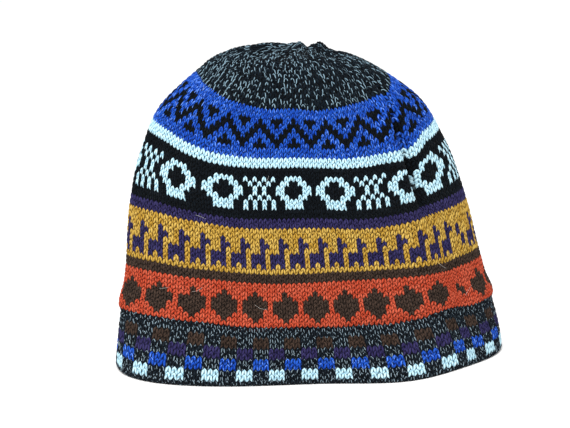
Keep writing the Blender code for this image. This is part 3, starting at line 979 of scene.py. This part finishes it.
def hair_path(stitch, row, length, turn, bow):
    """Points along one hair, which is bowed and stands off the skin in the middle."""
    share = np.linspace(-0.5, 0.5, HAIR_POINTS)
    across = share * math.cos(turn) - bow * (share * share) * math.sin(turn)
    up = share * math.sin(turn) + bow * (share * share) * math.cos(turn)
    around = stitch / STITCHES + across * length / PERIMETER
    out = HAIR_LIFT * (1 - HAIR_ARCH * share * share)
    return skin_at(around, row + up * length / ROW_HEIGHT, out)


def hair_tube(path, first):
    """Points and faces of a thin closed tube along a path. Its points are numbered from first."""
    forward = np.gradient(path, axis=0)
    forward /= np.linalg.norm(forward, axis=1, keepdims=True)
    beside = np.cross(forward, (0.0, 0.0, 1.0))
    beside /= np.linalg.norm(beside, axis=1, keepdims=True)
    above = np.cross(beside, forward)
    angles = 2 * math.pi * np.arange(HAIR_SIDES) / HAIR_SIDES
    ring = beside[:, None] * np.cos(angles)[:, None] + above[:, None] * np.sin(angles)[:, None]
    points = (path[:, None] + HAIR_RADIUS * ring).reshape(-1, 3)
    last = first + (HAIR_POINTS - 1) * HAIR_SIDES
    faces = [tuple(range(first + HAIR_SIDES - 1, first - 1, -1)), tuple(range(last, last + HAIR_SIDES))]
    for low in range(first, last, HAIR_SIDES):
        for side in range(HAIR_SIDES):
            a, b = low + side, low + (side + 1) % HAIR_SIDES
            faces.append((a, b, b + HAIR_SIDES, a + HAIR_SIDES))
    return list(points), faces


def lay_hairs():
    hairs = list(HAIRS)
    for _ in range(SCATTERED_HAIRS):
        hairs.append((rng.uniform(0, STITCHES), rng.uniform(2, CROWN_EDGE), rng.uniform(*HAIR_LENGTHS),
                      rng.uniform(-HAIR_TURN, HAIR_TURN), rng.uniform(-HAIR_BOW, HAIR_BOW)))
    points, faces = [], []
    for hair in hairs:
        more_points, more_faces = hair_tube(hair_path(*hair), len(points))
        points += more_points
        faces += more_faces
    print("stray_hairs", len(hairs), "hairs,", len(faces), "faces")
    return add_piece("stray_hairs", points, faces, [plain_material("pale_hair", paint(176, 178, 174), 0.6)])


stray_hairs = lay_hairs()

# %% [markdown]
# Camera and light. The photograph was taken from a little above and to the left, with a long lens, against
# white. Large soft lamps from the front and above light the wool evenly and leave the sides darker.

# %% Camera, floor and lights
PHOTO_SIZE = (570, 428)
AZIMUTH, ELEVATION, DISTANCE = math.radians(-15), math.radians(13), 1.25
METRES_PER_PIXEL = 0.00056
AIM_RIGHT, AIM_UP = -0.0150, -0.0065
LAMP_AIM = 0.09                      # height that the lamps point at
FLOOR_REACH = 30.0


def look_from(azimuth, elevation):
    """Directions to the right and up in the picture, and back towards the camera."""
    right = Vector((math.cos(azimuth), math.sin(azimuth), 0))
    back = Vector((math.sin(azimuth) * math.cos(elevation), -math.cos(azimuth) * math.cos(elevation),
                   math.sin(elevation)))
    return right, back.cross(right), back


def make_camera():
    data = bpy.data.cameras.new("camera")
    data.sensor_width = 36.0
    data.lens = data.sensor_width * DISTANCE / (PHOTO_SIZE[0] * METRES_PER_PIXEL)
    camera = bpy.data.objects.new("camera", data)
    bpy.context.scene.collection.objects.link(camera)
    right, up, back = look_from(AZIMUTH, ELEVATION)
    aim = Vector((0, 0, ZONE_HEIGHTS[-1] / 2)) + right * AIM_RIGHT + up * AIM_UP
    camera.location = aim + back * DISTANCE
    camera.rotation_euler = back.to_track_quat("Z", "Y").to_euler()
    bpy.context.scene.camera = camera
    return camera


def make_lamp(name, azimuth, elevation, distance, size, power, colour):
    data = bpy.data.lights.new(name, "AREA")
    data.shape = "DISK"
    data.size = size
    data.energy = power
    data.color = colour
    lamp = bpy.data.objects.new(name, data)
    back = look_from(math.radians(azimuth), math.radians(elevation))[2]
    lamp.location = Vector((0, 0, LAMP_AIM)) + back * distance
    lamp.rotation_euler = back.to_track_quat("Z", "Y").to_euler()
    bpy.context.scene.collection.objects.link(lamp)
    return lamp


def make_floor():
    corners = [(-FLOOR_REACH, -FLOOR_REACH, 0), (FLOOR_REACH, -FLOOR_REACH, 0),
               (FLOOR_REACH, FLOOR_REACH, 0), (-FLOOR_REACH, FLOOR_REACH, 0)]
    pale = plain_material("pale_floor", (0.90, 0.90, 0.90, 1.0), 0.95, specular=0.0)
    return add_piece("floor", corners, [(0, 1, 2, 3)], [pale])


def make_world():
    world = bpy.data.worlds.new("studio")
    world.use_nodes = True
    background = world.node_tree.nodes["Background"]
    background.inputs["Color"].default_value = (1.0, 1.0, 1.0, 1.0)
    background.inputs["Strength"].default_value = 1.0
    bpy.context.scene.world = world


camera = make_camera()
floor = make_floor()
lamps = (
    make_lamp("key_light", -28, 50, 1.6, 0.9, 27.0, (1.0, 0.99, 0.98)),
    make_lamp("front_light", 0, 12, 2.0, 1.6, 3.0, (0.97, 0.98, 1.0)),
)
make_world()
bpy.context.scene.view_settings.view_transform = "Standard"
print("camera at", [round(v, 3) for v in camera.location], "lamps", [lamp.name for lamp in lamps])

# %% [markdown]
# Each piece rides on the hat's only body and stands for the plain solid under it.

# %% Hand the pieces to the frame
PIECES = (
    (hem_stitches, "hem_band", "hem_wool"),
    (hem_ground, "hem_band", "hem_wool"),
    (diamond_band, "body", "patterned_wool"),
    (llama_band, "body", "patterned_wool"),
    (ring_band, "body", "patterned_wool"),
    (zigzag_band, "body", "patterned_wool"),
    (body_ground, "body", "patterned_wool"),
    (stray_hairs, "body", "patterned_wool"),
    (crown_stitches, "crown", "crown_wool"),
    (crown_ground, "crown", "crown_wool"),
)
for piece, node, slot in PIECES:
    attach(piece, "root")
    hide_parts(node)
